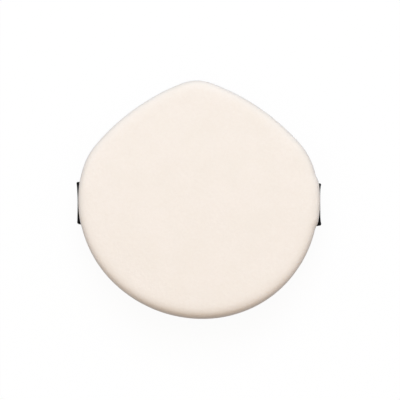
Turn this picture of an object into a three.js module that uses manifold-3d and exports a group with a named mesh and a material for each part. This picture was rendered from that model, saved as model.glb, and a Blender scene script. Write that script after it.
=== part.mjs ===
// A cushion-compact makeup puff: a foam core in a velvety face skin, closed by a flat back,
// with a ribbon finger strap whose ends are trapped in the glue layer of the seam.
//
// Millimetres, +Z up. The puff lies face up on its strap: +Y points to the tip, X runs along the
// strap, and the origin is on the resting surface under the middle of the puff.

import * as THREE from "three";
import { mergeVertices } from "three/addons/utils/BufferGeometryUtils.js";
import Module from "manifold-3d";

const wasm = await Module();
wasm.setup();

// Plan outline of the pad, as seen on its face: four arcs a side, each tangent to the next.
const padWidth = 57;
const padLength = 56.7;
const tipRadius = 9.9;
const flankRadius = 51.3;
const shoulderRadius = 16.6;
// Where the shoulder arc runs into the round body, as the turn of the outline's normal from the tip.
const shoulderTurn = THREE.MathUtils.degToRad(78);

// Steps around each arc of one side.
const tipSteps = 3;
const flankSteps = 7;
const shoulderSteps = 5;
const bodySteps = 17;

// Thickness of each layer, from the back to the face.
const backThickness = 1.1;
const ribbonThickness = 0.4;
const coreThickness = 5.4;
const filmThickness = 0.15;
const skinThickness = 1.2;

// Section of the pad's edge. Reaches are measured in from the widest outline.
const widestHeight = 3.6; // above the back face
const edgeReach = 5; // to where the roll of the edge meets the face
const edgeFullness = 4; // of the roll: 2 is an ellipse, and more is squarer
const seamReach = 0.1; // to the seam, so the sides draw in below the widest outline
const seamDepth = 0.25; // of the glue line behind the lips of the seam
const backRollReach = 1;
const backRollHeight = 0.8;
const layerClearance = 0.3; // between the side walls of nested layers

// The face and the layers under it swell by the rise of the crown in the middle.
const crownRise = 0.4;
const crownShares = [0.85, 0.65, 0.45]; // of the way out to the roll of the edge
const rollSteps = 6;
const hiddenRollSteps = 2;

// Finger strap of woven ribbon. Its ends run into the seam, and it stands off the back for a finger.
const ribbonWidth = 10;
const fingerGap = 6;
const tabLength = 7; // hidden in the seam at each end
const foldInnerRadius = 0.15;
const restLength = 28; // flat stretch that the puff lies on
const strapOffset = -0.6; // from the middle of the pad towards its round end
const pocketClearance = 0.3; // between the glue layer and each end of the ribbon
const cutOverrun = 1;
const foldSteps = 6;
const dropSteps = 16;

// Heights of the faces of the layers above the resting surface.
const backBottom = ribbonThickness + fingerGap;
const backTop = backBottom + backThickness;
const seamTop = backTop + ribbonThickness;
const coreTop = seamTop + coreThickness;
const filmTop = coreTop + filmThickness;
const faceTop = filmTop + skinThickness;
const widestTop = backBottom + widestHeight;

const quarterTurn = Math.PI / 2;

const outline = outlineArcs();
const puff = new THREE.Group();
puff.add(
  backCover(),
  backBond(),
  foamCore(),
  barrierFilm(),
  faceSkin(),
  fingerStrap(),
);

// The direction that the outline faces once its normal has turned from the tip, clockwise.
function facing(turn) {
  return new THREE.Vector2(Math.sin(turn), Math.cos(turn));
}

function turnTowards(from, to) {
  return Math.atan2(to.x - from.x, to.y - from.y);
}

// The right side of the outline as arcs from the tip to the round end. The flank's circle holds the
// tip's and the shoulder's inside it, so its centre is as far from theirs as their radii differ.
function outlineArcs() {
  const bodyRadius = padWidth / 2;
  const tip = new THREE.Vector2(0, padLength / 2 - tipRadius);
  const body = new THREE.Vector2(0, bodyRadius - padLength / 2);
  const shoulder = body
    .clone()
    .addScaledVector(facing(shoulderTurn), bodyRadius - shoulderRadius);

  const fromTip = flankRadius - tipRadius;
  const fromShoulder = flankRadius - shoulderRadius;
  const line = shoulder.clone().sub(tip);
  const span = line.length();
  const along = (fromTip ** 2 - fromShoulder ** 2 + span ** 2) / (2 * span);
  const aside = Math.sqrt(fromTip ** 2 - along ** 2);
  line.normalize();
  const flank = tip
    .clone()
    .addScaledVector(line, along)
    .addScaledVector(new THREE.Vector2(line.y, -line.x), aside);

  const tipTurn = turnTowards(flank, tip);
  const flankTurn = turnTowards(flank, shoulder);
  return [
    { centre: tip, radius: tipRadius, from: 0, to: tipTurn, steps: tipSteps },
    { centre: flank, radius: flankRadius, from: tipTurn, to: flankTurn, steps: flankSteps },
    { centre: shoulder, radius: shoulderRadius, from: flankTurn, to: shoulderTurn, steps: shoulderSteps },
    { centre: body, radius: bodyRadius, from: shoulderTurn, to: Math.PI, steps: bodySteps },
  ];
}

// The whole outline moved in by a reach, clockwise from the tip. An inset of a chain of tangent arcs
// is the same chain with smaller radii, so every ring has its points side by side with the next.
function ring(reach, z) {
  const right = outline.flatMap(({ centre, radius, from, to, steps }) =>
    Array.from({ length: steps }, (_, i) => {
      const normal = facing(THREE.MathUtils.lerp(from, to, i / steps));
      return centre.clone().addScaledVector(normal, radius - reach);
    }),
  );
  const left = right.slice(1).reverse();
  const body = outline.at(-1);
  const points = [
    ...right,
    new THREE.Vector2(0, body.centre.y - body.radius + reach),
    ...left.map(({ x, y }) => new THREE.Vector2(-x, y)),
  ];
  return points.map(({ x, y }) => new THREE.Vector3(x, y, z));
}

// Rings over a quarter of a superellipse in section, an ellipse at a fullness of 2. They start
// upright and end level.
function rollIn(reach, z, endReach, endZ, steps, fullness = 2) {
  return Array.from({ length: steps + 1 }, (_, i) => {
    const angle = (quarterTurn * i) / steps;
    const across = Math.max(0, Math.cos(angle)) ** (2 / fullness);
    const up = Math.sin(angle) ** (2 / fullness);
    return ring(
      THREE.MathUtils.lerp(reach, endReach, 1 - across),
      THREE.MathUtils.lerp(z, endZ, up),
    );
  });
}

// A quarter of an ellipse the other way round: from level to upright.
function rollOut(reach, z, endReach, endZ, steps) {
  return rollIn(endReach, endZ, reach, z, steps).reverse();
}

// Rings of the low crown inside the roll of the edge, up to its level middle.
function crownRings(z) {
  const innermost = Math.min(...crownShares);
  return crownShares.map((share) => {
    const rise = (crownRise * (1 - share ** 2)) / (1 - innermost ** 2);
    return ring(edgeReach, z + rise).map(
      (point) => new THREE.Vector3(point.x * share, point.y * share, point.z),
    );
  });
}

// Rings of a hidden layer's dome: upright from the glue, over the roll of the edge and the crown.
function domeRings(reach, top) {
  return [
    ring(reach, seamTop),
    ...rollIn(reach, widestTop, edgeReach, top, hiddenRollSteps, edgeFullness),
    ...crownRings(top),
  ];
}

// A closed surface through rings, with a level cap inside its first and its last. It faces out where
// the rings climb the outside of a layer, or go down its inside and then up its outside.
function loft(rings) {
  const count = rings[0].length;
  const last = rings.length - 1;
  const middle = (k) => new THREE.Vector3(0, 0, rings[k][0].z);
  const points = [middle(0), ...rings.flat(), middle(last)];
  const at = (k, j) => 1 + k * count + (j % count);
  const index = [];
  for (let j = 0; j < count; j += 1) {
    index.push(0, at(0, j), at(0, j + 1));
    for (let k = 1; k <= last; k += 1) {
      index.push(at(k - 1, j), at(k, j), at(k - 1, j + 1));
      index.push(at(k - 1, j + 1), at(k, j), at(k, j + 1));
    }
    index.push(points.length - 1, at(last, j + 1), at(last, j));
  }
  return new THREE.BufferGeometry().setFromPoints(points).setIndex(index);
}

function mesh(name, geometry, colour, roughness) {
  const material = new THREE.MeshStandardMaterial({ color: colour, roughness, metalness: 0 });
  const made = new THREE.Mesh(geometry, material);
  made.name = name;
  geometry.computeVertexNormals();
  return made;
}

// The flat back, rolled up at its rim to the seam.
function backCover() {
  const rim = backBottom + backRollHeight;
  const rings = [
    ...rollOut(seamReach + backRollReach, backBottom, seamReach, rim, hiddenRollSteps),
    ring(seamReach, backTop),
  ];
  return mesh("back_cover", loft(rings), "#f1e9dc", 0.85);
}

// The glue that closes the seam. It is as thick as the ribbon, whose two ends lie in its pockets.
function backBond() {
  const reach = seamReach + seamDepth;
  const sheet = solidOf(loft([ring(reach, backTop), ring(reach, seamTop)]));
  const inner = seamHalfWidth() - tabLength - pocketClearance;
  const outer = seamHalfWidth() + cutOverrun;
  const cutter = new THREE.BoxGeometry(
    outer - inner,
    ribbonWidth + 2 * pocketClearance,
    ribbonThickness + 2 * cutOverrun,
  );
  const pockets = [-1, 1].map((side) => {
    const middle = (side * (inner + outer)) / 2;
    return solidOf(cutter.clone().translate(middle, strapOffset, (backTop + seamTop) / 2));
  });
  const cut = pockets.reduce((left, pocket) => left.subtract(pocket), sheet);
  return mesh("back_bond", geometryOf(cut), "#e9dfca", 0.6);
}

// The soft sponge that fills the pad.
function foamCore() {
  return mesh("foam_core", loft(domeRings(coreReach(), coreTop)), "#fbf8f0", 1);
}

// The thin cap over the core that keeps the make-up out of it.
function barrierFilm() {
  const inside = domeRings(filmReach() + filmThickness, coreTop);
  const outside = domeRings(filmReach(), filmTop);
  return mesh("barrier_film", loft([...inside.reverse(), ...outside]), "#e6e9ea", 0.3);
}

// The velvety skin that takes up the make-up, turned down over the edge to the seam.
function faceSkin() {
  const inside = domeRings(skinInnerReach(), filmTop);
  const outside = [
    ...rollOut(seamReach, seamTop, 0, widestTop, hiddenRollSteps),
    ...rollIn(0, widestTop, edgeReach, faceTop, rollSteps, edgeFullness).slice(1),
    ...crownRings(faceTop),
  ];
  return mesh("face_skin", loft([...inside.reverse(), ...outside]), "#f8f0e4", 0.95);
}

// How far the side walls of the nested layers stand in from the widest outline.
function skinInnerReach() {
  return seamReach + skinThickness;
}

function filmReach() {
  return skinInnerReach() + layerClearance;
}

function coreReach() {
  return filmReach() + filmThickness + layerClearance;
}

// From the middle of the pad to the seam, along the strap.
function seamHalfWidth() {
  return padWidth / 2 - seamReach;
}

// Half of the strap's centre line, from its end in the seam to its flat stretch: each point with
// the way that the ribbon's outer face looks there.
function strapLine() {
  const foldRadius = foldInnerRadius + ribbonThickness / 2;
  const tabHeight = (backTop + seamTop) / 2;
  const foldBottom = tabHeight - foldRadius;
  const dropReach = seamHalfWidth() + foldRadius - restLength / 2;
  const dropHeight = foldBottom - ribbonThickness / 2;

  const tab = { at: new THREE.Vector2(seamHalfWidth() - tabLength, tabHeight), out: facing(0) };
  const fold = Array.from({ length: foldSteps + 1 }, (_, i) => {
    const out = facing((quarterTurn * i) / foldSteps);
    const at = new THREE.Vector2(seamHalfWidth(), foldBottom).addScaledVector(out, foldRadius);
    return { at, out };
  });
  const drop = Array.from({ length: dropSteps }, (_, i) => {
    const angle = (quarterTurn * (i + 1)) / dropSteps;
    const aside = Math.cos(angle);
    const down = Math.sin(angle);
    const at = new THREE.Vector2(restLength / 2 + dropReach * aside, foldBottom - dropHeight * down);
    const out = new THREE.Vector2(dropHeight * aside, -dropReach * down).normalize();
    return { at, out };
  });
  return [tab, ...fold, ...drop];
}

// The finger strap: one length of ribbon, drawn edge on and given its width along Y.
function fingerStrap() {
  const line = strapLine();
  const offset = (distance) => line.map(({ at, out }) => at.clone().addScaledVector(out, distance));
  const flipped = (points) => points.map(({ x, y }) => new THREE.Vector2(-x, y));
  const outer = offset(ribbonThickness / 2);
  const inner = offset(-ribbonThickness / 2);
  const section = [
    ...outer,
    ...flipped(outer).reverse(),
    ...flipped(inner),
    ...inner.reverse(),
  ];
  const geometry = new THREE.ExtrudeGeometry(new THREE.Shape(section), {
    depth: ribbonWidth,
    bevelEnabled: false,
  });
  geometry.rotateX(quarterTurn);
  geometry.translate(0, strapOffset + ribbonWidth / 2, 0);
  return mesh("finger_strap", geometry, "#161618", 0.45);
}

// A geometry as a solid for cutting, with its faces sharing their corners.
function solidOf(geometry) {
  const bare = geometry.clone();
  bare.deleteAttribute("normal");
  bare.deleteAttribute("uv");
  const merged = mergeVertices(bare);
  return new wasm.Manifold(
    new wasm.Mesh({
      numProp: 3,
      vertProperties: merged.attributes.position.array,
      triVerts: new Uint32Array(merged.index.array),
    }),
  );
}

function geometryOf(solid) {
  const { vertProperties, triVerts } = solid.getMesh();
  return new THREE.BufferGeometry()
    .setAttribute("position", new THREE.BufferAttribute(vertProperties, 3))
    .setIndex(new THREE.BufferAttribute(triVerts, 1));
}

export default puff;
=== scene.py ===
import math

import bpy
import numpy as np
from mathutils import Color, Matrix, Vector, kdtree, noise


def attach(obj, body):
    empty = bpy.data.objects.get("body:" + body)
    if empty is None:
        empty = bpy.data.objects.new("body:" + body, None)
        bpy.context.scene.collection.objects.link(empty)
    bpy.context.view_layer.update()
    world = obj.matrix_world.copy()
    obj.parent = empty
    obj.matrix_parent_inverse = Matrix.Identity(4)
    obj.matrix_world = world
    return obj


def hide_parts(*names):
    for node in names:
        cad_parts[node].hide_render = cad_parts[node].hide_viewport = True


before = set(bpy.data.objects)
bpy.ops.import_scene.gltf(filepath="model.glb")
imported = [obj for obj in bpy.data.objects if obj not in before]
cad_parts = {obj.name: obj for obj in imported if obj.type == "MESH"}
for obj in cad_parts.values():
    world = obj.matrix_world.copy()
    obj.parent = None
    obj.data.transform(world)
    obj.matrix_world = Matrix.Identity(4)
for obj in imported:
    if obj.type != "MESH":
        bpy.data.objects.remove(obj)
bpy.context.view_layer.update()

# Metres throughout. The puff lies face up on its strap: +Y to the tip, X along the strap.

# Plan outline of the pad: four arcs a side, each tangent to the next.
PAD_WIDTH = 0.057
PAD_LENGTH = 0.0567
TIP_RADIUS = 0.0099
FLANK_RADIUS = 0.0513
SHOULDER_RADIUS = 0.0166
SHOULDER_TURN = math.radians(78)

# Heights above the floor and reaches in from the widest outline, as in the solids.
RIBBON_THICKNESS = 0.0004
FINGER_GAP = 0.006
BACK_THICKNESS = 0.0011
CORE_THICKNESS = 0.0054
FILM_THICKNESS = 0.00015
SKIN_THICKNESS = 0.0012
BACK_BOTTOM = RIBBON_THICKNESS + FINGER_GAP
BACK_TOP = BACK_BOTTOM + BACK_THICKNESS
SEAM_TOP = BACK_TOP + RIBBON_THICKNESS
CORE_TOP = SEAM_TOP + CORE_THICKNESS
FILM_TOP = CORE_TOP + FILM_THICKNESS
FACE_TOP = FILM_TOP + SKIN_THICKNESS
WIDEST_HEIGHT = 0.0036
WIDEST_TOP = BACK_BOTTOM + WIDEST_HEIGHT
EDGE_REACH = 0.005
EDGE_FULLNESS = 4
SEAM_REACH = 0.0001
SIDE_CLEARANCE = 0.0003
BACK_ROLL_REACH = 0.001
BACK_ROLL_HEIGHT = 0.0008
CROWN_RISE = 0.0004

# Reach of each layer's side wall.
SKIN_INNER_REACH = SEAM_REACH + SKIN_THICKNESS
FILM_REACH = SKIN_INNER_REACH + SIDE_CLEARANCE
CORE_REACH = FILM_REACH + FILM_THICKNESS + SIDE_CLEARANCE

# The skin and the back round off at the seam by a lip, with a bend a third of its size in from
# both faces, and both are a little uneven.
LIP = 0.00012
LIP_BEND = LIP / 3
UNEVEN_DEPTH = 0.00003
UNEVEN_SIZE = 0.007

# The soft pad leans a little: its midline moves sideways with the first three powers of the
# distance from its middle, measured in half lengths. It is drawn in a little all round, but less
# at the tip and at a third of a turn to each side of it.
LEANS = (-0.0001, 0.00029, -0.00054)
DRAWN_IN = 0.00004
BULGE = 0.0001
BULGES = 3

# The sides of the pad swell out over the ends of the ribbon, all the way up from the widest
# height. The swelling is full up to an inset from the ribbon's edges, ends within the fade, and
# reaches in from the side of the pad by its reach.
RIGHT_TAB_BULGE = 0.0004
LEFT_TAB_BULGE = 0.00006
TAB_BULGE_INSET = 0.0004
TAB_BULGE_FADE = 0.002
TAB_BULGE_REACH = 0.005

# The face is blown up as cloth in a coarse form at a larger scale, with its wall held. The
# farthest that a point of it moves is scaled to the rise, and each point of the fine face follows
# the nearest few of the coarse ones.
SWELL_RISE = 0.00012
SWELL_SCALE = 20
SWELL_VOXEL = 0.0011
SWELL_FRAMES = 20
SWELL_PRESSURE = 4
SWELL_NEAR = 12
SWELL_SIDE_STEPS = 3
SWELL_ROLL_STEPS = 6
SWELL_CROWN_STEPS = 10

# Finger strap.
RIBBON_WIDTH = 0.01
STRAP_OFFSET = -0.0006
TAB_LENGTH = 0.007
FOLD_INNER_RADIUS = 0.00015
REST_LENGTH = 0.028

# The ribbon lies a little askew. Each fold lies some way to the right of its place, and its
# corners stand out from the pad: first the corner to the tip, then the one to the round end. A
# higher power keeps that nearer to the corners.
STRAP_SKEW_SHARE = 0.00625
RIGHT_SHIFT = 0.00015
RIGHT_FLARES = (0.00028, 0.00028)
RIGHT_POWER = 5
LEFT_SHIFT = 0.00007
LEFT_FLARES = (0.0003, 0.00006)
LEFT_POWER = 2
FLARE_LENGTH = 0.003

# Section of the ribbon: thin between its selvedges, with squarely rounded edges. The shares are
# of its thickness and of half its width.
THIN_SHARE = 0.8
SELVEDGE_START_SHARE = 0.86
SELVEDGE_RAMP_SHARE = 0.08
RIBBON_SQUARENESS = 24

# Fineness of the meshes.
SKIN_SPACING = 0.0006
LAYER_SPACING = 0.001
STRAP_SPACING = 0.0003
SIDE_STEPS = 8
ROLL_STEPS = 22
CROWN_STEPS = 44
LAYER_ROLL_STEPS = 8
LAYER_CROWN_STEPS = 20
BACK_STEPS = 30
LID_SHARES = (0.9, 0.6, 0.3)
FOLD_STEPS = 8
DROP_STEPS = 60
RIBBON_STEPS = 40

# The photograph's frame: its size and the middle of the pad's outline in pixels, and the real
# size of a pixel there.
PHOTO_PIXELS = 400
PHOTO_PAD_MIDDLE = (198.45, 199.95)
PIXEL_SIZE = 0.0002375
CAMERA_DISTANCE = 0.6
CAMERA_TILT = math.radians(6)
SENSOR_MM = 36

# The floor throws back some of the light, and its shadow fades out away from the puff.
FLOOR_SIZE = 3
FLOOR_BOUNCE_SHARE = 0.3
SHADOW_SHARE = 0.06
SHADOW_REACH = 0.06
SHADOW_FADE = 0.1

# The world is bright over the puff and behind its tip, and dim low down before its round end. The
# shares are of the way along its axis.
WORLD_BRIGHT = (0.55, 0.54, 0.52)
WORLD_DIM = (0.43, 0.345, 0.28)
WORLD_AXIS = (0, 0.57, 0.82)
WORLD_DIM_SHARE = 0.1
WORLD_BRIGHT_SHARE = 0.6

# Lamps: place, width, height, and the level to which each lights a white surface turned to it,
# where 1 is white.
LAMPS = {
    "key": ((0, 0.62, 1.03), 0.7, 0.7, (0.355, 0.432, 0.532)),
    "over": ((0, 0, 1.2), 0.7, 0.7, (0.22, 0.166, 0.112)),
    "left": ((-0.8, 0.1, 0.15), 0.6, 0.25, (0.09, 0.1, 0.11)),
    "right": ((0.8, 0.1, 0.15), 0.6, 0.25, (0.09, 0.1, 0.11)),
}

QUARTER_TURN = math.pi / 2
WHITE = (1, 1, 1, 1)
SCREEN_WHITE = 255


# Outline and sections.

def facing(turn):
    """The way the outline looks once its normal has turned clockwise from the tip."""
    return np.array([math.sin(turn), math.cos(turn)])


def turn_towards(start, end):
    """How far clockwise from +Y one point sees another."""
    return math.atan2(*(end - start))


def outline_arcs():
    """The right side of the outline, from the tip to the round end: each arc's centre, its radius
    and the turns at which it starts and ends."""
    body_radius = PAD_WIDTH / 2
    tip = np.array([0, PAD_LENGTH / 2 - TIP_RADIUS])
    body = np.array([0, body_radius - PAD_LENGTH / 2])
    shoulder = body + (body_radius - SHOULDER_RADIUS) * facing(SHOULDER_TURN)

    from_tip = FLANK_RADIUS - TIP_RADIUS
    from_shoulder = FLANK_RADIUS - SHOULDER_RADIUS
    span = np.linalg.norm(shoulder - tip)
    line = (shoulder - tip) / span
    along = (from_tip**2 - from_shoulder**2 + span**2) / (2 * span)
    aside = math.sqrt(from_tip**2 - along**2)
    flank = tip + along * line + aside * np.array([line[1], -line[0]])

    tip_turn = turn_towards(flank, tip)
    flank_turn = turn_towards(flank, shoulder)
    return [
        (tip, TIP_RADIUS, 0, tip_turn),
        (flank, FLANK_RADIUS, tip_turn, flank_turn),
        (shoulder, SHOULDER_RADIUS, flank_turn, SHOULDER_TURN),
        (body, body_radius, SHOULDER_TURN, math.pi),
    ]


ARCS = outline_arcs()


def ring(reach, z, spacing, share=1):
    """The outline at a height, moved in by a reach and then scaled by a share, clockwise from the
    tip, with points about a spacing apart."""
    right = []
    for centre, radius, start, end in ARCS:
        steps = max(2, round(radius * (end - start) / spacing))
        for turn in np.linspace(start, end, steps, endpoint=False):
            right.append(centre + (radius - reach) * facing(turn))
    body_centre, body_radius = ARCS[-1][:2]
    round_end = [np.array([0, body_centre[1] - body_radius + reach])]
    left = [point * (-1, 1) for point in reversed(right[1:])]
    plan = np.array(right + round_end + left) * share
    return np.column_stack([plan, np.full(len(plan), z)])


def section_rings(section, spacing):
    """A ring for each reach and height of a section."""
    return [ring(reach, z, spacing) for reach, z in section]


def roll_in(reach, z, end_reach, end_z, steps, fullness=2):
    """Reach and height over a quarter of a superellipse that starts upright and ends level. A
    fullness of 2 makes an ellipse, and more makes its corner squarer."""
    angles = np.linspace(0, QUARTER_TURN, steps + 1)
    across = np.maximum(np.cos(angles), 0) ** (2 / fullness)
    up = np.sin(angles) ** (2 / fullness)
    return list(zip(reach + (end_reach - reach) * (1 - across), z + (end_z - z) * up))


def roll_out(reach, z, end_reach, end_z, steps):
    """A quarter of an ellipse the other way round, from level to upright."""
    return roll_in(end_reach, end_z, reach, z, steps)[::-1]


def crown(top, steps, spacing, rise=CROWN_RISE):
    """Rings from the roll of the edge up to the middle of the face, which swells by a rise."""
    shares = np.linspace(1, 0, steps, endpoint=False)[1:]
    return [ring(EDGE_REACH, top + rise * (1 - share**2), spacing, share) for share in shares]


def loft(rings):
    """Vertices and faces of a closed surface through rings, with a middle point over each end."""
    count = len(rings[0])
    first = np.array([[0, 0, rings[0][0, 2]]])
    last = np.array([[0, 0, rings[-1][0, 2]]])
    vertices = np.vstack([first, *rings, last])
    end = len(vertices) - 1
    faces = []
    for j in range(count):
        after = (j + 1) % count
        faces.append((0, 1 + j, 1 + after))
        for k in range(len(rings) - 1):
            low = 1 + k * count
            high = low + count
            faces.append((low + j, high + j, high + after, low + after))
        faces.append((end, end - count + after, end - count + j))
    return vertices, faces


# Meshes and objects.

def new_mesh(name, vertices, faces):
    mesh = bpy.data.meshes.new(name)
    mesh.from_pydata([tuple(v) for v in vertices], [], faces)
    return mesh


def new_object(name, data):
    made = bpy.data.objects.new(name, data)
    bpy.context.scene.collection.objects.link(made)
    return made


def as_modified(made):
    """An object as its modifiers leave it."""
    return made.evaluated_get(bpy.context.evaluated_depsgraph_get())


# The softness of the pad.

def ease(share):
    """A smooth rise from 0 to 1, level beyond both."""
    share = np.clip(share, 0, 1)
    return share * share * (3 - 2 * share)


def tab_bulge(points):
    """How far the sides of the pad swell out over the ends of the ribbon."""
    x, y, z = points.T
    near = ease((np.abs(x) - PAD_WIDTH / 2) / TAB_BULGE_REACH + 1)
    beyond = np.abs(y - STRAP_OFFSET) - RIBBON_WIDTH / 2 + TAB_BULGE_INSET
    above = ease((z - SEAM_TOP) / (WIDEST_TOP - SEAM_TOP))
    full = np.where(x > 0, RIGHT_TAB_BULGE, -LEFT_TAB_BULGE)
    return full * near * above * ease(1 - beyond / TAB_BULGE_FADE)


def soften(points):
    """Points of the pad moved out with its bulges, and sideways with its leaning midline."""
    points = np.array(points)
    half = PAD_LENGTH / 2
    turn = np.arctan2(points[:, 0], points[:, 1])
    points[:, :2] *= (1 + (BULGE * np.cos(BULGES * turn) - DRAWN_IN) / half)[:, None]
    points[:, 0] += tab_bulge(points)
    along = points[:, 1] / half
    for power, shift in enumerate(LEANS, start=1):
        points[:, 0] += shift * along**power
    return points


def normals_of(vertices, faces):
    mesh = new_mesh("measure", vertices, faces)
    found = np.array([v.normal for v in mesh.vertices])
    bpy.data.meshes.remove(mesh)
    return found


def uneven(points, normals):
    """Points moved along their normals by smooth noise."""
    shift = [UNEVEN_DEPTH * noise.noise(Vector(p) / UNEVEN_SIZE) for p in points]
    return points + normals * np.array(shift)[:, None]


# Node trees.

def linear(red, green, blue):
    """A colour read off a screen, as light."""
    colour = Color((red, green, blue)) / SCREEN_WHITE
    return (*colour.from_srgb_to_scene_linear(), 1)


class Tree:
    """A node tree whose nodes are each made by one call."""

    # Where the node that blends two colours has its sockets.
    BLEND_SHARE = 0
    BLEND_FIRST = 6
    BLEND_SECOND = 7
    BLEND_COLOUR = 2

    def __init__(self, tree):
        self.tree = tree

    def add(self, kind, **settings):
        node = self.tree.nodes.new(kind)
        for name, value in settings.items():
            setattr(node, name, value)
        return node

    def feed(self, socket, value):
        """Joins a socket to an output, or sets it to a value."""
        if isinstance(value, bpy.types.NodeSocket):
            self.tree.links.new(value, socket)
        else:
            socket.default_value = value

    def math(self, operation, first, second=0.0):
        node = self.add("ShaderNodeMath", operation=operation)
        self.feed(node.inputs[0], first)
        self.feed(node.inputs[1], second)
        return node.outputs[0]

    def remap(self, value, low, high, to_low=0.0, to_high=1.0, interpolation="LINEAR"):
        """A value from low to high, moved to another range and held there."""
        node = self.add("ShaderNodeMapRange", interpolation_type=interpolation)
        self.feed(node.inputs["Value"], value)
        self.feed(node.inputs["From Min"], low)
        self.feed(node.inputs["From Max"], high)
        self.feed(node.inputs["To Min"], to_low)
        self.feed(node.inputs["To Max"], to_high)
        return node.outputs["Result"]

    def blend(self, share, first, second):
        """A colour between two, by a share of the second."""
        node = self.add("ShaderNodeMix", data_type="RGBA")
        self.feed(node.inputs[self.BLEND_SHARE], share)
        self.feed(node.inputs[self.BLEND_FIRST], first)
        self.feed(node.inputs[self.BLEND_SECOND], second)
        return node.outputs[self.BLEND_COLOUR]

    def shader(self, kind, colour=WHITE):
        node = self.add(kind)
        self.feed(node.inputs["Color"], colour)
        return node.outputs[0]

    def blend_shaders(self, share, first, second):
        node = self.add("ShaderNodeMixShader")
        self.feed(node.inputs[0], share)
        self.feed(node.inputs[1], first)
        self.feed(node.inputs[2], second)
        return node.outputs[0]

    def seen(self):
        """1 for what the camera sees, straight or in a reflection, and 0 for light on things."""
        path = self.add("ShaderNodeLightPath").outputs
        reflected = self.math("MAXIMUM", path["Is Glossy Ray"], path["Is Transmission Ray"])
        return self.math("MAXIMUM", path["Is Camera Ray"], reflected)


class Material(Tree):
    """The node tree of a piece's material."""

    def __init__(self, name, **settings):
        self.material = bpy.data.materials.new(name)
        self.material.use_nodes = True
        super().__init__(self.material.node_tree)
        self.principled = self.tree.nodes["Principled BSDF"].inputs
        for socket, value in settings.items():
            self.principled[socket.replace("_", " ")].default_value = value
        self.place = self.add("ShaderNodeTexCoord").outputs["Object"]

    def noise(self, size, detail=3, roughness=0.5):
        """Noise whose blobs are about a size across."""
        node = self.add("ShaderNodeTexNoise")
        self.feed(node.inputs["Vector"], self.place)
        self.feed(node.inputs["Scale"], 1 / size)
        self.feed(node.inputs["Detail"], detail)
        self.feed(node.inputs["Roughness"], roughness)
        return node.outputs["Fac"]

    def cells(self, size):
        """Distance from the middle of round cells of about a size, in shares of that size."""
        node = self.add("ShaderNodeTexVoronoi")
        self.feed(node.inputs["Vector"], self.place)
        self.feed(node.inputs["Scale"], 1 / size)
        return node.outputs["Distance"]

    def wave(self, along, size):
        """A wave from -1 to 1 that repeats by a size."""
        return self.math("SINE", self.math("MULTIPLY", along, 2 * math.pi / size))

    def split(self, place):
        """The three coordinates of a place."""
        node = self.add("ShaderNodeSeparateXYZ")
        self.feed(node.inputs[0], place)
        return node.outputs

    def bump(self, height, depth, strength=1.0, under=None):
        """A surface raised by a height that goes from 0 to 1 over a depth, on top of another."""
        node = self.add("ShaderNodeBump")
        self.feed(node.inputs["Height"], height)
        self.feed(node.inputs["Distance"], depth)
        self.feed(node.inputs["Strength"], strength)
        if under is not None:
            self.feed(node.inputs["Normal"], under)
        return node.outputs["Normal"]

    def finish(self, colour, normal):
        self.feed(self.principled["Base Color"], colour)
        self.feed(self.principled["Normal"], normal)
        return self.material


# Materials.

def velvet():
    """Foamed skin: matt, finely pored, with a soft bloom, a barely mottled cream, and painted
    shade in specks over its fine grain.
    """
    cream = linear(245, 237, 227)
    light_cream = linear(247, 239, 230)
    painted_shade_cream = linear(241, 231, 220)
    bloom = linear(215, 231, 255)
    patch_size = 0.006
    patch_shares = (0.35, 0.65)
    grain_size = 0.0006
    grain_shares = (0.3, 0.7)
    grain_shade_share = 0.5
    peel_size = 0.0009
    peel_depth = 0.00006
    pore_size = 0.00032
    pore_depth = 0.00002
    pore_shares = (0, 0.35)
    pore_strength_share = 0.5
    nap_size = 0.00018
    nap_depth = 0.00003
    nap_strength_share = 0.6
    look = Material("velvet_skin", Roughness=0.95, Specular_IOR_Level=0.2, Sheen_Weight=0.25,
                    Sheen_Roughness=0.5, Sheen_Tint=bloom)
    patches = look.remap(look.noise(patch_size, detail=2), *patch_shares)
    grain = look.remap(look.noise(grain_size, detail=4, roughness=0.65), *grain_shares)
    tone = look.blend(patches, cream, light_cream)
    # Painted shade: the fine grain darkens the cream in specks, standing in for the shade in the
    # grain.
    colour = look.blend(look.math("MULTIPLY", grain, grain_shade_share), tone, painted_shade_cream)
    normal = look.bump(look.noise(peel_size, detail=2), peel_depth)
    pores = look.remap(look.cells(pore_size), *pore_shares)
    normal = look.bump(pores, pore_depth, pore_strength_share, normal)
    nap = look.noise(nap_size, roughness=0.7)
    return look.finish(colour, look.bump(nap, nap_depth, nap_strength_share, normal))


def sponge():
    """Open-celled foam, with painted shade darkening the hollows of its cells."""
    shaded_hollow = linear(226, 220, 206)
    wall = linear(252, 249, 242)
    cell_size = 0.0004
    cell_depth = 0.0002
    cell_shares = (0, 0.6)
    look = Material("sponge", Roughness=1)
    cells = look.remap(look.cells(cell_size), *cell_shares)
    # Painted shade: the hollows of the cells take a darker colour than their walls.
    return look.finish(look.blend(cells, shaded_hollow, wall), look.bump(cells, cell_depth))


def film():
    """Thin clear-grey film, faintly creased."""
    grey = linear(226, 230, 231)
    light_grey = linear(238, 241, 242)
    crease_size = 0.004
    crease_depth = 0.0002
    look = Material("film", Roughness=0.25)
    creases = look.noise(crease_size, detail=4, roughness=0.6)
    return look.finish(look.blend(creases, grey, light_grey), look.bump(creases, crease_depth))


def glue():
    """Pressed hot-melt, creamy and uneven."""
    straw = linear(222, 208, 182)
    light_straw = linear(240, 229, 208)
    flow_size = 0.0012
    flow_depth = 0.0001
    look = Material("hot_melt", Roughness=0.45)
    flow = look.noise(flow_size, roughness=0.6)
    return look.finish(look.blend(flow, straw, light_straw), look.bump(flow, flow_depth))


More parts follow.
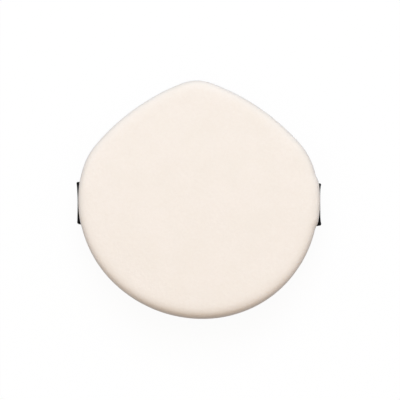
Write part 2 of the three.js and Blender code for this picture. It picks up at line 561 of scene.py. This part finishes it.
def back_fabric():
    """Fine knit with a smooth coated face: rows of small loops."""
    beige = linear(238, 229, 216)
    light_beige = linear(245, 237, 226)
    loop_beige = linear(224, 212, 195)
    wale = 0.00036
    course = 0.0003
    loop_depth = 0.00004
    loop_tone_share = 0.3
    loop_strength_share = 0.7
    patch_size = 0.005
    coat_size = 0.0004
    coat_depth = 0.00003
    look = Material("back_knit", Roughness=0.8, Sheen_Weight=0.1)
    x, y, _ = look.split(look.place)
    loops = look.remap(look.math("MULTIPLY", look.wave(x, wale), look.wave(y, course)), -1, 1)
    tone = look.blend(look.noise(patch_size), beige, light_beige)
    colour = look.blend(look.math("MULTIPLY", loops, loop_tone_share), tone, loop_beige)
    normal = look.bump(look.noise(coat_size), coat_depth)
    return look.finish(colour, look.bump(loops, loop_depth, loop_strength_share, normal))


def ribbon_weave():
    """Black satin-faced ribbon: fine ribs across it and finer threads along it."""
    black = linear(4, 4, 5)
    light_black = linear(16, 16, 18)
    bloom = linear(120, 120, 128)
    rib_size = 0.0004
    thread_size = 0.00022
    thread_share = 0.5
    weave_depth = 0.00005
    weave_strength_share = 0.8
    crease_size = 0.0006
    crease_depth = 0.00002
    look = Material("ribbon_weave", Roughness=0.5, Specular_IOR_Level=0.06, Sheen_Weight=0.01,
                    Sheen_Roughness=0.4, Sheen_Tint=bloom)
    along, across, _ = look.split(look.add("ShaderNodeUVMap", uv_map="cloth").outputs["UV"])
    threads = look.math("MULTIPLY", look.wave(across, thread_size), thread_share)
    highest = 1 + thread_share
    weave = look.remap(look.math("ADD", look.wave(along, rib_size), threads), -highest, highest)
    normal = look.bump(look.noise(crease_size), crease_depth)
    colour = look.blend(weave, black, light_black)
    return look.finish(colour, look.bump(weave, weave_depth, weave_strength_share, normal))


# Pieces.

def piece(name, vertices, faces, material, replaced):
    """A smooth mesh object that rides on the pad and stands for a solid."""
    mesh = new_mesh(name, vertices, faces)
    mesh.shade_smooth()
    mesh.materials.append(material)
    made = new_object(name, mesh)
    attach(made, "root")
    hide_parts(replaced)
    return made


def dome(reach, top, spacing=LAYER_SPACING):
    """Rings of a layer's dome: upright from the glue, over the roll of the edge and the crown."""
    roll = roll_in(reach, WIDEST_TOP, EDGE_REACH, top, LAYER_ROLL_STEPS, EDGE_FULLNESS)
    sides = section_rings([(reach, SEAM_TOP), *roll], spacing)
    return sides + crown(top, LAYER_CROWN_STEPS, spacing)


def skin_outside(spacing, side_steps, roll_steps, crown_steps, rise):
    """Rings of the skin's outer face, from its lip in the seam up to the middle of the face."""
    section = [
        (SEAM_REACH + LIP, SEAM_TOP),
        (SEAM_REACH + LIP_BEND, SEAM_TOP + LIP_BEND),
        *roll_out(SEAM_REACH, SEAM_TOP + LIP, 0, WIDEST_TOP, side_steps),
        *roll_in(0, WIDEST_TOP, EDGE_REACH, FACE_TOP, roll_steps, EDGE_FULLNESS)[1:],
    ]
    return section_rings(section, spacing) + crown(FACE_TOP, crown_steps, spacing, rise)


def swell_form():
    """A coarse closed form of the skin, a little flatter than it ends up."""
    flatter = CROWN_RISE - SWELL_RISE
    vertices, faces = loft(skin_outside(SWELL_VOXEL, SWELL_SIDE_STEPS, SWELL_ROLL_STEPS,
                                        SWELL_CROWN_STEPS, flatter))
    form = new_object("swell_form", new_mesh("swell_form", vertices * SWELL_SCALE, faces))
    remesh = form.modifiers.new("remesh", "REMESH")
    remesh.mode = "VOXEL"
    remesh.voxel_size = SWELL_VOXEL * SWELL_SCALE
    remeshed = bpy.data.meshes.new_from_object(as_modified(form))
    form.modifiers.clear()
    form.data = remeshed
    return form


def blow_up(form, held_points):
    """Where the points of a form end up once it is blown up as cloth, with some of them held."""
    held = form.vertex_groups.new(name="held")
    held.add(held_points, 1, "REPLACE")
    cloth = form.modifiers.new("cloth", "CLOTH")
    cloth.settings.vertex_group_mass = held.name
    cloth.settings.use_pressure = True
    cloth.settings.uniform_pressure_force = SWELL_PRESSURE
    cloth.settings.effector_weights.gravity = 0
    scene = bpy.context.scene
    for step in range(1, SWELL_FRAMES + 1):
        scene.frame_set(step)
    blown = as_modified(form)
    points = np.array([v.co for v in blown.to_mesh().vertices])
    blown.to_mesh_clear()
    scene.frame_set(1)
    return points


def swelling():
    """Where the points of the coarse form start, and how far the swelling foam moves each."""
    form = swell_form()
    start = np.array([v.co for v in form.data.vertices])
    wall = np.flatnonzero(start[:, 2] < WIDEST_TOP * SWELL_SCALE)
    moves = blow_up(form, wall.tolist()) - start
    bpy.data.objects.remove(form)
    farthest = np.linalg.norm(moves, axis=1).max()
    return start / SWELL_SCALE, moves * SWELL_RISE / farthest


def swollen(vertices):
    """Vertices moved as the nearest points of the coarse form move."""
    start, moves = swelling()
    tree = kdtree.KDTree(len(start))
    for i, point in enumerate(start):
        tree.insert(point, i)
    tree.balance()
    moved = vertices.copy()
    for i, vertex in enumerate(vertices):
        near = tree.find_n(vertex, SWELL_NEAR)
        weights = np.array([math.exp(-((gap / SWELL_VOXEL) ** 2) / 2) for _, _, gap in near])
        if weights.sum() > 0:
            moved[i] += (moves[[j for _, j, _ in near]] * weights[:, None]).sum(0) / weights.sum()
    return moved


def make_skin():
    """The velvety skin, whose face starts flatter when the swelling is still to raise it."""
    rise = CROWN_RISE - SWELL_RISE
    inside = dome(SKIN_INNER_REACH, FILM_TOP, SKIN_SPACING)
    outside = skin_outside(SKIN_SPACING, SIDE_STEPS, ROLL_STEPS, CROWN_STEPS, rise)
    vertices, faces = loft([*inside[::-1], *outside])
    split = 1 + len(inside) * len(inside[0])
    vertices[split:] = swollen(vertices[split:])
    vertices[split:] = uneven(vertices[split:], normals_of(vertices, faces)[split:])
    made = piece("face_skin_velvet", soften(vertices), faces, velvet(), "face_skin")


def make_film():
    inside = dome(FILM_REACH + FILM_THICKNESS, CORE_TOP)
    outside = dome(FILM_REACH, FILM_TOP)
    vertices, faces = loft([*inside[::-1], *outside])
    piece("barrier_film_cap", soften(vertices), faces, film(), "barrier_film")


def make_core():
    vertices, faces = loft(dome(CORE_REACH, CORE_TOP))
    made = piece("foam_core_sponge", soften(vertices), faces, sponge(), "foam_core")


def make_bond():
    """The glue sheet with its two pockets, as in the solid, leaning with the pad."""
    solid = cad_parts["back_bond"].data
    vertices = np.array([v.co for v in solid.vertices])
    faces = [tuple(p.vertices) for p in solid.polygons]
    piece("back_bond_glue", soften(vertices), faces, glue(), "back_bond")


def make_back():
    """The flat back: its outer face, its rolled rim with the lip, and its face on the glue."""
    rim = BACK_BOTTOM + BACK_ROLL_HEIGHT
    flat_reach = SEAM_REACH + BACK_ROLL_REACH
    section = [
        *roll_out(flat_reach, BACK_BOTTOM, SEAM_REACH, rim, SIDE_STEPS),
        (SEAM_REACH, BACK_TOP - LIP),
        (SEAM_REACH + LIP_BEND, BACK_TOP - LIP_BEND),
        (SEAM_REACH + LIP, BACK_TOP),
    ]
    shares = np.linspace(0, 1, BACK_STEPS, endpoint=False)[1:]
    flat = [ring(flat_reach, BACK_BOTTOM, SKIN_SPACING, share) for share in shares]
    lid = [ring(SEAM_REACH + LIP, BACK_TOP, SKIN_SPACING, share) for share in LID_SHARES]
    vertices, faces = loft([*flat, *section_rings(section, SKIN_SPACING), *lid])
    vertices = uneven(vertices, normals_of(vertices, faces))
    piece("back_cover_knit", soften(vertices), faces, back_fabric(), "back_cover")


def half_strap():
    """Half of the strap's centre line, from its end in the seam to the middle of its flat stretch:
    points in x and z, and the way that its outer face looks at each."""
    start = PAD_WIDTH / 2 - SEAM_REACH
    radius = FOLD_INNER_RADIUS + RIBBON_THICKNESS / 2
    tab_height = (BACK_TOP + SEAM_TOP) / 2
    fold_bottom = tab_height - radius
    rest_end = REST_LENGTH / 2
    drop_reach = start + radius - rest_end
    drop_height = fold_bottom - RIBBON_THICKNESS / 2

    line = []
    for x in np.arange(start - TAB_LENGTH, start - STRAP_SPACING / 2, STRAP_SPACING):
        line.append(((x, tab_height), (0, 1)))
    for turn in np.linspace(0, QUARTER_TURN, FOLD_STEPS + 1):
        out = facing(turn)
        line.append((np.array([start, fold_bottom]) + radius * out, out))
    for turn in np.linspace(0, QUARTER_TURN, DROP_STEPS)[1:]:
        at = (rest_end + drop_reach * math.cos(turn), fold_bottom - drop_height * math.sin(turn))
        out = np.array([drop_height * math.cos(turn), -drop_reach * math.sin(turn)])
        line.append((at, out / np.linalg.norm(out)))
    for x in np.arange(rest_end - STRAP_SPACING, STRAP_SPACING / 2, -STRAP_SPACING):
        line.append(((x, RIBBON_THICKNESS / 2), (0, -1)))
    return [np.array(part) for part in zip(*line)]


def ribbon_section():
    """Round the ribbon: shares of half its width, with heights over its middle plane."""
    across = np.linspace(-1, 1, RIBBON_STEPS + 1)
    edge = np.sqrt(np.maximum(0, 1 - np.abs(across) ** RIBBON_SQUARENESS))
    selvedge = np.clip((np.abs(across) - SELVEDGE_START_SHARE) / SELVEDGE_RAMP_SHARE, 0, 1)
    heights = edge * (THIN_SHARE + (1 - THIN_SHARE) * selvedge) * RIBBON_THICKNESS / 2
    back = zip(across[-2:0:-1], -heights[-2:0:-1])
    return [*zip(across, heights), *back]


def spread(x, side):
    """How far a point of the ribbon moves to the right, at a share across it."""
    flares, power = (RIGHT_FLARES, RIGHT_POWER) if x > 0 else (LEFT_FLARES, LEFT_POWER)
    corner = flares[0] if side > 0 else flares[1]
    fold_reach = PAD_WIDTH / 2 - SEAM_REACH + FOLD_INNER_RADIUS
    near = np.clip(1 - (fold_reach - abs(x)) / FLARE_LENGTH, 0, 1)
    flare = math.copysign(corner * abs(side) ** power * near**2, x)
    along = (x / fold_reach + 1) / 2
    return LEFT_SHIFT + (RIGHT_SHIFT - LEFT_SHIFT) * along + flare


def band_faces(count, sections):
    """Faces of a closed band through a row of sections, each with a count of points."""
    faces = []
    for k in range(sections - 1):
        low = k * count
        high = low + count
        for j in range(count):
            after = (j + 1) % count
            faces.append((low + j, low + after, high + after, high + j))
    faces.append(tuple(reversed(range(count))))
    faces.append(tuple(range((sections - 1) * count, sections * count)))
    return faces


def make_strap():
    """One length of ribbon, with its weave laid out on its flat cut."""
    at, out = half_strap()
    at = np.vstack([at, at[::-1] * (-1, 1)])
    out = np.vstack([out, out[::-1] * (-1, 1)])
    travelled = np.concatenate([[0], np.cumsum(np.linalg.norm(np.diff(at, axis=0), axis=1))])

    section = ribbon_section()
    vertices, flats = [], []
    for (x, z), (out_x, out_z), distance in zip(at, out, travelled):
        for side, height in section:
            y = STRAP_OFFSET + side * RIBBON_WIDTH / 2
            moved = x + out_x * height + spread(x, side)
            vertices.append((moved, y - STRAP_SKEW_SHARE * x, z + out_z * height))
            flats.append((distance, y))
    faces = band_faces(len(section), len(at))
    made = piece("finger_strap_ribbon", vertices, faces, ribbon_weave(), "finger_strap")
    cloth = made.data.uv_layers.new(name="cloth")
    for loop in made.data.loops:
        cloth.data[loop.index].uv = flats[loop.vertex_index]


# Floor, light and camera.

def floor_material():
    """Shows white, with the puff's faint shadow, and throws back a share of the light."""
    made = bpy.data.materials.new("floor")
    made.use_nodes = True
    made.node_tree.nodes.clear()
    tree = Tree(made.node_tree)
    distance = tree.add("ShaderNodeVectorMath", operation="LENGTH")
    tree.feed(distance.inputs[0], tree.add("ShaderNodeTexCoord").outputs["Object"])
    shadow = tree.remap(distance.outputs["Value"], SHADOW_REACH, SHADOW_REACH + SHADOW_FADE,
                        SHADOW_SHARE, 0, "SMOOTHSTEP")
    white = tree.shader("ShaderNodeEmission")
    shaded = tree.shader("ShaderNodeBsdfDiffuse")
    grey = (FLOOR_BOUNCE_SHARE, FLOOR_BOUNCE_SHARE, FLOOR_BOUNCE_SHARE, 1)
    bounce = tree.shader("ShaderNodeBsdfDiffuse", grey)
    surface = tree.blend_shaders(tree.seen(), bounce, tree.blend_shaders(shadow, white, shaded))
    tree.feed(tree.add("ShaderNodeOutputMaterial").inputs["Surface"], surface)
    return made


def make_floor():
    half = FLOOR_SIZE / 2
    corners = [(-half, -half, 0), (half, -half, 0), (half, half, 0), (-half, half, 0)]
    mesh = new_mesh("floor", corners, [(0, 1, 2, 3)])
    mesh.materials.append(floor_material())
    new_object("floor", mesh)


def make_world():
    """Grades the light from dim to bright along an axis, and shows white to the camera."""
    world = bpy.data.worlds.new("studio")
    world.use_nodes = True
    tree = Tree(world.node_tree)
    along = tree.add("ShaderNodeVectorMath", operation="DOT_PRODUCT")
    tree.feed(along.inputs[0], tree.add("ShaderNodeTexCoord").outputs["Generated"])
    tree.feed(along.inputs[1], WORLD_AXIS)
    bright = tree.remap(along.outputs["Value"], WORLD_DIM_SHARE, WORLD_BRIGHT_SHARE,
                        interpolation="SMOOTHSTEP")
    light = tree.blend(bright, (*WORLD_DIM, 1), (*WORLD_BRIGHT, 1))
    background = world.node_tree.nodes["Background"].inputs["Color"]
    tree.feed(background, tree.blend(tree.seen(), light, WHITE))
    bpy.context.scene.world = world


def soft_box(name, place, width, height, level):
    """A lamp that looks at the puff, of the power that lights a white surface to a level."""
    data = bpy.data.lights.new(name, "AREA")
    data.shape = "RECTANGLE"
    data.size = width
    data.size_y = height
    brightest = max(level)
    data.color = [share / brightest for share in level]
    data.energy = brightest * (math.pi * Vector(place).length) ** 2
    lamp = new_object(name, data)
    lamp.location = place
    lamp.rotation_mode = "QUATERNION"
    lamp.rotation_quaternion = (-Vector(place)).to_track_quat("-Z", "Y")


def make_camera():
    """A camera almost straight over the puff, a little to its round side."""
    data = bpy.data.cameras.new("camera")
    data.sensor_width = SENSOR_MM
    data.lens = SENSOR_MM * CAMERA_DISTANCE / (PHOTO_PIXELS * PIXEL_SIZE)
    camera = new_object("camera", data)
    half = PHOTO_PIXELS / 2
    x = (half - PHOTO_PAD_MIDDLE[0]) * PIXEL_SIZE
    y = (PHOTO_PAD_MIDDLE[1] - half) * PIXEL_SIZE
    away = Vector((0, -math.sin(CAMERA_TILT), math.cos(CAMERA_TILT)))
    camera.location = Vector((x, y, WIDEST_TOP)) + CAMERA_DISTANCE * away
    camera.rotation_euler = (CAMERA_TILT, 0, 0)
    bpy.context.scene.camera = camera


bpy.context.scene.view_settings.view_transform = "Standard"
make_camera()
make_world()
for name, lamp in LAMPS.items():
    soft_box(name, *lamp)
make_floor()
make_skin()
make_film()
make_core()
make_bond()
make_back()
make_strap()
